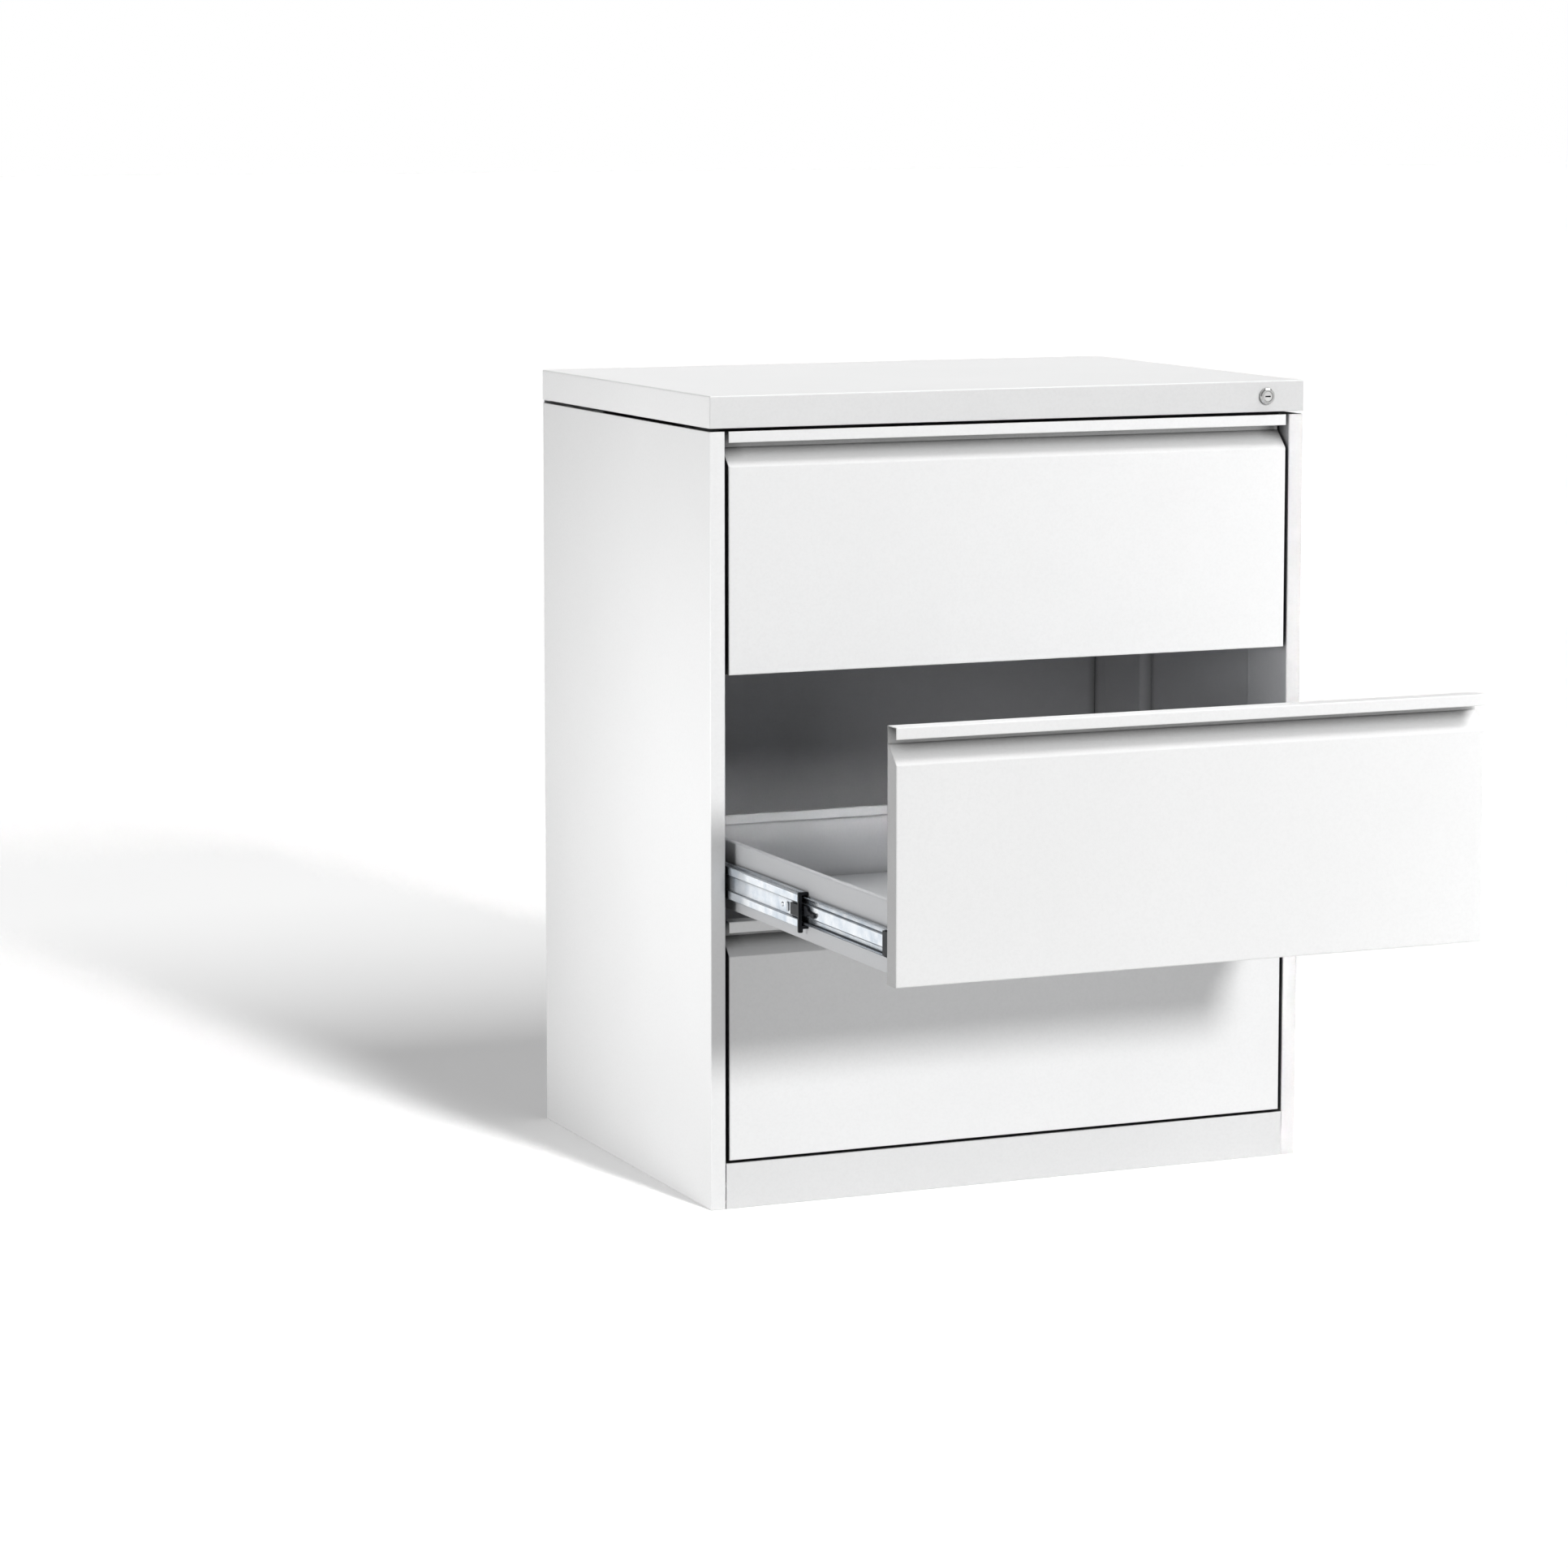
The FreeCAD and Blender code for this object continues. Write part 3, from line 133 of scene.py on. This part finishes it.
def powder_coat(name, light, deep, inside=None, gaps=SHEET_SHADE_GAPS):
    """Powder coat with a faint mottle, fine specks, uneven gloss, a fine grain and painted shade in gaps and
    inside corners;
    inside is a second pair of colours, a painted grey standing in for shade, for the faces of a side panel that
    look into the carcass."""
    material, shader, add, join = blank_material(name)
    where = add("ShaderNodeTexCoord").outputs["Object"]
    mottle = noise(add, join, where, MOTTLE_PER_METRE, 3)
    gloss = noise(add, join, where, GLOSS_PER_METRE, 2)
    axes = add("ShaderNodeSeparateXYZ")
    join(where, axes.inputs[0])

    def speckled(pale, dark):
        even = blend_colours(add, join, spread(add, join, mottle, 0, 1), dark, pale)
        speck = tuple(SPECK_SHADE * part for part in dark)
        return blend_colours(add, join, spread(add, join, gloss, 0.4, 0, 0.3, 0.6), even, speck)

    colour = speckled(light, deep)
    # Faces inside the side skins and behind the stiles take the painted grey, as painted shade.
    if inside:
        across = add("ShaderNodeMath")
        across.operation = "ABSOLUTE"
        join(axes.outputs["X"], across.inputs[0])
        within = add("ShaderNodeMath")
        within.operation = "LESS_THAN"
        within.inputs[1].default_value = SKIN_INSIDE
        join(across.outputs[0], within.inputs[0])
        behind = add("ShaderNodeMath")
        behind.operation = "GREATER_THAN"
        behind.inputs[1].default_value = STILE_BACK
        join(axes.outputs["Y"], behind.inputs[0])
        inside_shade_mask = add("ShaderNodeMath")
        inside_shade_mask.operation = "MULTIPLY"
        join(within.outputs[0], inside_shade_mask.inputs[0])
        join(behind.outputs[0], inside_shade_mask.inputs[1])
        colour = blend_colours(add, join, inside_shade_mask.outputs[0], colour, speckled(*inside))
    # Painted shade in gaps and inside corners.
    colour = painted_crevice_shade(add, join, colour, COAT_CREVICE_SHADE, gaps, axes.outputs["Z"])
    join(colour, shader.inputs["Base Color"])
    join(spread(add, join, gloss, 0.28, 0.38), shader.inputs["Roughness"])
    shader.inputs["Specular IOR Level"].default_value = 0.5
    grain = noise(add, join, where, GRAIN_PER_METRE, 3, 0.55)
    bump = raised(add, join, shader, grain, GRAIN_HEIGHT, 0.35)
    roll = add("ShaderNodeBevel")
    roll.samples = 4
    roll.inputs["Radius"].default_value = EDGE_ROLL
    join(roll.outputs["Normal"], bump.inputs["Normal"])
    return material


def dress(material, *names):
    """Gives CAD nodes their finish."""
    for name in names:
        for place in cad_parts[name].material_slots:
            place.material = material


white_coat = powder_coat("white_powder_coat", COAT_WHITE, COAT_WHITE_DEEP)
# The grey coat is painted shade for the dark inside of the carcass; the side panels take it only on the inside.
shade_grey_coat = powder_coat("shade_grey_powder_coat", INSIDE_SHADE_GREY, INSIDE_SHADE_GREY_DEEP)
side_coat = powder_coat("side_panel_coat", COAT_WHITE, COAT_WHITE_DEEP, (INSIDE_SHADE_GREY, INSIDE_SHADE_GREY_DEEP))
dress(side_coat, "side_panel_left", "side_panel_right", "back_panel")
dress(white_coat, "plinth")
dress(shade_grey_coat, "rear_upright_left", "rear_upright_right", "base_panel")
# The rail behind the shadow gap is painted near black: a dark sheet standing in for the shade in the gap.
dress(powder_coat("rail_shade_coat", (0.10, 0.10, 0.105), (0.08, 0.08, 0.085)), "front_top_rail")

# Top cover: one pan of folded steel over a shadow gap, powder coated like the carcass.
# It is screwed on from below, so its faces are plain.
dress(white_coat, "top_cover")

# Drawer fronts: hollow pans of folded steel with a full-width grip, closed by a liner plate behind.
# They carry the same coat as the carcass, with wider painted shade under the grip's lip and in its recess.
GRIP_SHADE_GAPS = (0.034, 0.26, 0.80)
DRAWERS = ("bottom", "middle", "top")
front_coat = powder_coat("front_powder_coat", COAT_WHITE, COAT_WHITE_DEEP, gaps=GRIP_SHADE_GAPS)
for drawer in DRAWERS:
    dress(front_coat, f"drawer_front_{drawer}")
    dress(white_coat, f"drawer_liner_{drawer}")

# Drawer trays: pans of folded steel behind the fronts, with the rim turned in and down.
# Their coat is a light grey, with painted shade in gaps and inside corners.
TRAY_GREY = (0.66, 0.668, 0.682)
TRAY_GREY_DEEP = (0.63, 0.638, 0.652)
TRAY_SHADE_GAPS = (0.024, 0.12, 0.50)
tray_coat = powder_coat("tray_powder_coat", TRAY_GREY, TRAY_GREY_DEEP, gaps=TRAY_SHADE_GAPS)
for drawer in DRAWERS:
    dress(tray_coat, f"drawer_tray_{drawer}")

# Slide members: strip steel, roll-formed to a ball-race section and zinc plated.
# The plate is bright and faintly blue, with fine lines along the rolling direction and painted shade in its
# grooves and corners.
ZINC_PALE = (0.90, 0.925, 0.95)
ZINC_BLUE = (0.58, 0.65, 0.73)
# Painted shade for the strip's grooves and corners, and its reach and shares of open view.
ZINC_CREVICE_SHADE = (0.010, 0.018, 0.030)
STRIP_SHADE_GAPS = (0.006, 0.48, 0.93)
METAL_SHARE = 0.85


def plated_strip(name, pale, deep, low_gloss, high_gloss):
    """Plated strip with rolling lines along the slide, soft clouds in the plate and painted shade in its
    grooves.
    """
    material, shader, add, join = blank_material(name)
    where = add("ShaderNodeTexCoord").outputs["Object"]
    stretch = add("ShaderNodeMapping")
    stretch.inputs["Scale"].default_value = (1400, 14, 1400)
    join(where, stretch.inputs["Vector"])
    lines = noise(add, join, stretch.outputs["Vector"], 1, 3)
    clouds = noise(add, join, where, 45, 3)
    plate = blend_colours(add, join, spread(add, join, clouds, 0, 1), deep, pale)
    plate = painted_crevice_shade(add, join, plate, ZINC_CREVICE_SHADE, STRIP_SHADE_GAPS)
    join(plate, shader.inputs["Base Color"])
    shader.inputs["Metallic"].default_value = METAL_SHARE
    join(spread(add, join, lines, low_gloss, high_gloss), shader.inputs["Roughness"])
    raised(add, join, shader, lines, 0.00004, 0.35)
    return material


zinc_plate = plated_strip("zinc_plate", ZINC_PALE, ZINC_BLUE, 0.14, 0.28)
SIDES = ("left", "right")
for drawer in DRAWERS:
    for side in SIDES:
        for member in ("cabinet", "intermediate", "drawer"):
            dress(zinc_plate, f"slide_{member}_{drawer}_{side}")

# Rivet and lug on each intermediate member: a domed rivet head and a pressed lug beside the stop.
# Both are zinc plated with the strip and stand on its recessed web.
WEB_FACE = 0.38925


def put_in(name, mesh_maker, material, body):
    """New piece from a finished bmesh, with its finish and body."""
    mesh = bpy.data.meshes.new(name)
    bmesh.ops.recalc_face_normals(mesh_maker, faces=mesh_maker.faces)
    mesh_maker.to_mesh(mesh)
    mesh_maker.free()
    piece = bpy.data.objects.new(name, mesh)
    piece.data.materials.append(material)
    bpy.context.collection.objects.link(piece)
    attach(piece, body)


def add_plate(maker, outline, near, far, chamfer):
    """Plate with an outline in y and z, from near to far along x, its outer rim chamfered."""
    loops = []
    middle_y = sum(y for y, _ in outline) / len(outline)
    middle_z = sum(z for _, z in outline) / len(outline)
    for x, inset in ((near, 0), (far - math.copysign(chamfer, far - near), 0), (far, chamfer)):
        loop = []
        for y, z in outline:
            away = Vector((y - middle_y, z - middle_z))
            shrunk = away * max(0.5, 1 - inset / max(away.length, 0.001))
            loop.append(maker.verts.new((x, middle_y + shrunk.x, middle_z + shrunk.y)))
        loops.append(loop)
    maker.faces.new(loops[0])
    maker.faces.new(list(reversed(loops[-1])))
    for low, high in zip(loops, loops[1:]):
        for i in range(len(low)):
            j = (i + 1) % len(low)
            maker.faces.new((low[i], high[i], high[j], low[j]))


def add_rivet(maker, x, y, z, way, radius, height):
    """Domed rivet head that stands on a face across x."""
    rings = []
    for share, rise in ((1.0, 0.0), (1.0, 0.30), (0.84, 0.66), (0.50, 0.93)):
        rings.append([maker.verts.new((x + way * height * rise,
                                       y + radius * share * math.cos(math.tau * i / 20),
                                       z + radius * share * math.sin(math.tau * i / 20))) for i in range(20)])
    crown = maker.verts.new((x + way * height, y, z))
    for low, high in zip(rings, rings[1:]):
        for i in range(20):
            maker.faces.new((low[i], low[(i + 1) % 20], high[(i + 1) % 20], high[i]))
    for i in range(20):
        maker.faces.new((rings[-1][i], rings[-1][(i + 1) % 20], crown))
    maker.faces.new(list(reversed(rings[0])))


LUG = ((-2.4, -4.6), (-1.4, -5.4), (1.4, -5.4), (2.4, -4.6), (2.4, 4.6), (1.4, 5.4), (-1.4, 5.4), (-2.4, 4.6))
for drawer in DRAWERS:
    for side, way in zip(SIDES, (-1, 1)):
        low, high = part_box(f"slide_intermediate_{drawer}_{side}")
        front, level = low.y, (low.z + high.z) / 2
        marks = bmesh.new()
        add_rivet(marks, way * WEB_FACE, front + 0.051, level, way, 0.0028, 0.0014)
        add_plate(marks, [(front + 0.034 + y / 1000, level + z / 1000) for y, z in LUG],
                  way * WEB_FACE, way * (WEB_FACE + 0.0016), 0.0006)
        put_in(f"slide_lug_{drawer}_{side}", marks, zinc_plate, f"intermediate_slides_{drawer}")

# Ball retainers: pressed strip with polished balls, bright and uncoated.
# They run between the slide members and show only at the open ends; like the slides, they get painted shade in
# their hollows.
ball_steel = plated_strip("ball_steel", (0.78, 0.78, 0.79), (0.66, 0.67, 0.69), 0.10, 0.22)
for drawer in DRAWERS:
    dress(ball_steel, f"outer_retainers_{drawer}", f"inner_retainers_{drawer}")

# Slide stops and end caps: black mouldings pressed into the front ends of the slide members.
# The moulded surface has a fine leather-like grain.
BLACK_MOULDING = (0.006, 0.0075, 0.010)
BLACK_MOULDING_WORN = (0.012, 0.014, 0.018)


def moulding(name, dark, pale, low_gloss=0.38, high_gloss=0.55):
    """Moulded plastic with a fine spark-eroded grain."""
    material, shader, add, join = blank_material(name)
    where = add("ShaderNodeTexCoord").outputs["Object"]
    clouds = noise(add, join, where, 60, 3)
    join(blend_colours(add, join, spread(add, join, clouds, 0, 1), dark, pale), shader.inputs["Base Color"])
    join(spread(add, join, clouds, low_gloss, high_gloss), shader.inputs["Roughness"])
    shader.inputs["Specular IOR Level"].default_value = 0.25
    grain = noise(add, join, where, 1800, 2)
    raised(add, join, shader, grain, 0.0001, 0.4)
    return material


black_moulding = moulding("black_moulding", BLACK_MOULDING, BLACK_MOULDING_WORN)
for drawer in DRAWERS:
    dress(black_moulding, f"slide_stops_{drawer}", f"slide_caps_{drawer}")

# Release levers: black moulded levers snapped into the channel of each drawer member.
# Pressed up or down behind the open drawer's stop, they let the drawer lift out.
CHANNEL_FACE = 0.3817
LEVER_THICKNESS = 0.0032
LEVER = ((0, -6.2), (5, -6.2), (8, -4.4), (13, -3.6), (17, -4.0), (21, -6.0), (26, -5.6), (29, -3.4), (30, -0.6),
         (27, 0.8), (23, -1.0), (18, 0.8), (13, 1.2), (10, 3.2), (9, 5.6), (5, 6.6), (0, 6.2))
for drawer in DRAWERS:
    for side, way in zip(SIDES, (-1, 1)):
        low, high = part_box(f"slide_drawer_{drawer}_{side}")
        rear, level = low.y + 0.2462, (low.z + high.z) / 2
        lever = bmesh.new()
        add_plate(lever, [(rear - y / 1000, level + z / 1000) for y, z in LEVER],
                  way * CHANNEL_FACE, way * (CHANNEL_FACE + LEVER_THICKNESS), 0.0007)
        put_in(f"slide_lever_{drawer}_{side}", lever, black_moulding, f"drawer_{drawer}")

# Lock: die-cast housing with a bevelled bezel and a turned plug, both bright nickel plated.
# The housing is nutted into the cover's front, and the plug turns in it; the dark of the keyway is painted
# shade.
NICKEL = (0.80, 0.80, 0.79)
NICKEL_SHADE = (0.68, 0.68, 0.68)
PLUG_NICKEL = (0.90, 0.90, 0.89)
# Painted shade for the keyway and other narrow slots, and its reach and shares of open view.
KEYWAY_SHADE = (0.010, 0.010, 0.012)
KEYWAY_SHADE_GAPS = (0.004, 0.45, 0.90)


def bright_plate(name, pale, deep, low_gloss, high_gloss):
    """Polished or satin plate with faint haze and painted shade in its narrow slots."""
    material, shader, add, join = blank_material(name)
    where = add("ShaderNodeTexCoord").outputs["Object"]
    haze = noise(add, join, where, 220, 3)
    plate = blend_colours(add, join, spread(add, join, haze, 0, 1), deep, pale)
    join(painted_crevice_shade(add, join, plate, KEYWAY_SHADE, KEYWAY_SHADE_GAPS), shader.inputs["Base Color"])
    shader.inputs["Metallic"].default_value = 1
    join(spread(add, join, haze, low_gloss, high_gloss), shader.inputs["Roughness"])
    return material


dress(bright_plate("polished_nickel", NICKEL, NICKEL_SHADE, 0.08, 0.18), "lock_housing")
dress(bright_plate("satin_nickel", PLUG_NICKEL, NICKEL, 0.34, 0.44), "lock_barrel")

# Locking gear: cam, bar and catches, cut from strip or turned, and zinc plated.
# The bar slides in natural-coloured guides inside the right-hand post.
dress(zinc_plate, "lock_cam", "lock_bar", *(f"lock_catch_{drawer}" for drawer in DRAWERS))
dress(moulding("guide_moulding", (0.68, 0.66, 0.60), (0.76, 0.74, 0.69)), "lock_bar_guides")

# Levelling feet: moulded pads on studs, screwed up inside the base.
# They are black, and only show from below.
foot_moulding = moulding("foot_moulding", (0.022, 0.022, 0.023), (0.040, 0.040, 0.041))
dress(foot_moulding, *(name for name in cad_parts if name.startswith("levelling_foot")))

# Studio: a pale floor without a visible end, under an even white sky.
# A soft lamp in front casts the drawer's shadow down and the cabinet's shadow behind it.
FLOOR_HALF = 60
FLOOR_GLOW = 0.185
FLOOR_BOUNCE = (0.60, 0.60, 0.60)
floor_sheet = bmesh.new()
bmesh.ops.create_grid(floor_sheet, x_segments=1, y_segments=1, size=FLOOR_HALF)
floor_mesh = bpy.data.meshes.new("studio_floor")
floor_sheet.to_mesh(floor_mesh)
floor_sheet.free()
floor = bpy.data.objects.new("studio_floor", floor_mesh)
bpy.context.collection.objects.link(floor)
floor_paint, shader, add, join = blank_material("studio_floor")
where = add("ShaderNodeTexCoord").outputs["Object"]
clouds = noise(add, join, where, 3, 2)
paper = blend_colours(add, join, clouds, (0.94, 0.94, 0.94), (0.96, 0.96, 0.96))
ray = add("ShaderNodeLightPath").outputs["Is Camera Ray"]
join(blend_colours(add, join, ray, FLOOR_BOUNCE, paper), shader.inputs["Base Color"])
shader.inputs["Roughness"].default_value = 0.9
shader.inputs["Specular IOR Level"].default_value = 0.0
shader.inputs["Emission Color"].default_value = (1, 1, 1, 1)
shader.inputs["Emission Strength"].default_value = FLOOR_GLOW
floor.data.materials.append(floor_paint)

SKY = 0.25
SKY_SEEN = 1.0
world = bpy.data.worlds.new("studio")
bpy.context.scene.world = world
world.use_nodes = True
tree = world.node_tree
lit = tree.nodes["Background"]
lit.inputs["Color"].default_value = (1, 1, 1, 1)
lit.inputs["Strength"].default_value = SKY
seen = tree.nodes.new("ShaderNodeBackground")
seen.inputs["Color"].default_value = (1, 1, 1, 1)
seen.inputs["Strength"].default_value = SKY_SEEN
path = tree.nodes.new("ShaderNodeLightPath")
either = tree.nodes.new("ShaderNodeMixShader")
tree.links.new(path.outputs["Is Camera Ray"], either.inputs["Fac"])
tree.links.new(lit.outputs[0], either.inputs[1])
tree.links.new(seen.outputs[0], either.inputs[2])
tree.links.new(either.outputs[0], tree.nodes["World Output"].inputs["Surface"])

AIM = Vector((0, -0.45, 0.5))


def lamp(name, kind, azimuth, elevation, distance, power, size):
    """Soft lamp aimed at the cabinet, placed by its direction: azimuth right of the front."""
    data = bpy.data.lights.new(name, kind)
    data.energy = power
    if kind == "SUN":
        data.angle = size
    else:
        data.shape = "RECTANGLE"
        data.size, data.size_y = size
    turn, rise = math.radians(azimuth), math.radians(elevation)
    away = Vector((math.sin(turn) * math.cos(rise), -math.cos(turn) * math.cos(rise), math.sin(rise)))
    lamp_object = bpy.data.objects.new(name, data)
    lamp_object.location = AIM + away * distance
    lamp_object.rotation_euler = away.to_track_quat("Z", "Y").to_euler()
    bpy.context.collection.objects.link(lamp_object)
    return lamp_object


def screen(lamp_object, nodes, share, part="receiver"):
    """Screens round a lamp: it lights (INCLUDE) or misses (EXCLUDE) some pieces, or they block it or not."""
    reach = bpy.data.collections.new(f"{lamp_object.name}_{part}")
    for node in nodes:
        reach.objects.link(node)
    for member in reach.collection_objects:
        member.light_linking.link_state = share
    setattr(lamp_object.light_linking, f"{part}_collection", reach)


def named(*starts):
    """CAD nodes whose names start with certain words."""
    return [node for name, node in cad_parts.items() if name.startswith(starts)]


front_lamp = lamp("front_lamp", "SUN", 10, 20, 6.0, 1.40, math.radians(7))
screen(front_lamp, named("back_panel", "rear_upright"), "EXCLUDE")
low_lamp = lamp("low_lamp", "SUN", 10, 20, 6.0, 0.43, math.radians(7))
screen(low_lamp, named("drawer_front_bottom", "side_panel", "back_panel", "rear_upright"), "INCLUDE")
right_lamp = lamp("right_lamp", "AREA", 60, 3, 2.1, 15.0, (0.9, 1.2))
right_lamp.visible_camera = False
screen(right_lamp, named("drawer_front_top", "drawer_front_middle"), "INCLUDE")
back_lamp = lamp("back_lamp", "AREA", 180, 12, 4.0, 20, (5.0, 2.5))
back_lamp.visible_camera = False
screen(back_lamp, named("back_panel", "top_cover"), "INCLUDE")
left_lamp = lamp("left_lamp", "AREA", -99, -1, 1.50, 8.4, (0.4, 0.4))
left_lamp.visible_camera = False
screen(left_lamp, named("drawer_front", "drawer_tray") + [floor], "EXCLUDE")
tray_lamp = lamp("tray_lamp", "SUN", -65, 12, 6.0, 1.10, math.radians(12))
screen(tray_lamp, named("drawer_tray"), "INCLUDE")
inside_lamp = lamp("inside_lamp", "SUN", -40, 6, 6.0, 0.5, math.radians(20))
screen(inside_lamp, named("back_panel", "rear_upright", "side_panel_right"), "INCLUDE")
top_lamp = lamp("top_lamp", "SUN", 90, 65, 6.0, 2.45, math.radians(40))
screen(top_lamp, [floor], "EXCLUDE")
FLOOR_LAMPS = 8
LOWEST, STEEPEST = 31, 61
for step in range(FLOOR_LAMPS):
    elevation = LOWEST + (STEEPEST - LOWEST) * step / (FLOOR_LAMPS - 1)
    floor_lamp = lamp(f"floor_lamp_{step + 1}", "SUN", 10.5, elevation, 9.0, 0.29, math.radians(5))
    screen(floor_lamp, [floor], "INCLUDE")
    screen(floor_lamp, named("drawer_", "slide_", "outer_", "inner_"), "EXCLUDE", "blocker")
slide_lamp = lamp("slide_lamp", "AREA", -143, -12, 1.45, 0.72, (1.1, 0.5))
slide_lamp.visible_camera = False
screen(slide_lamp, named("slide_"), "INCLUDE")

# Camera: the photograph's own viewpoint, a long lens a little left of the cabinet's front.
PHOTO_PIXELS = 1932
FOCAL_PIXELS = 6003
DROP_PIXELS = -200
camera_data = bpy.data.cameras.new("photo_camera")
camera_data.sensor_width = 36
camera_data.lens = camera_data.sensor_width * FOCAL_PIXELS / PHOTO_PIXELS
camera_data.shift_y = DROP_PIXELS / PHOTO_PIXELS
camera = bpy.data.objects.new("photo_camera", camera_data)
camera.location = (-2.680, -5.824, 1.415)
camera.rotation_euler = (math.radians(90 - 6.43), 0, math.radians(-23.15))
bpy.context.collection.objects.link(camera)
bpy.context.scene.camera = camera
bpy.context.scene.view_settings.view_transform = "Standard"
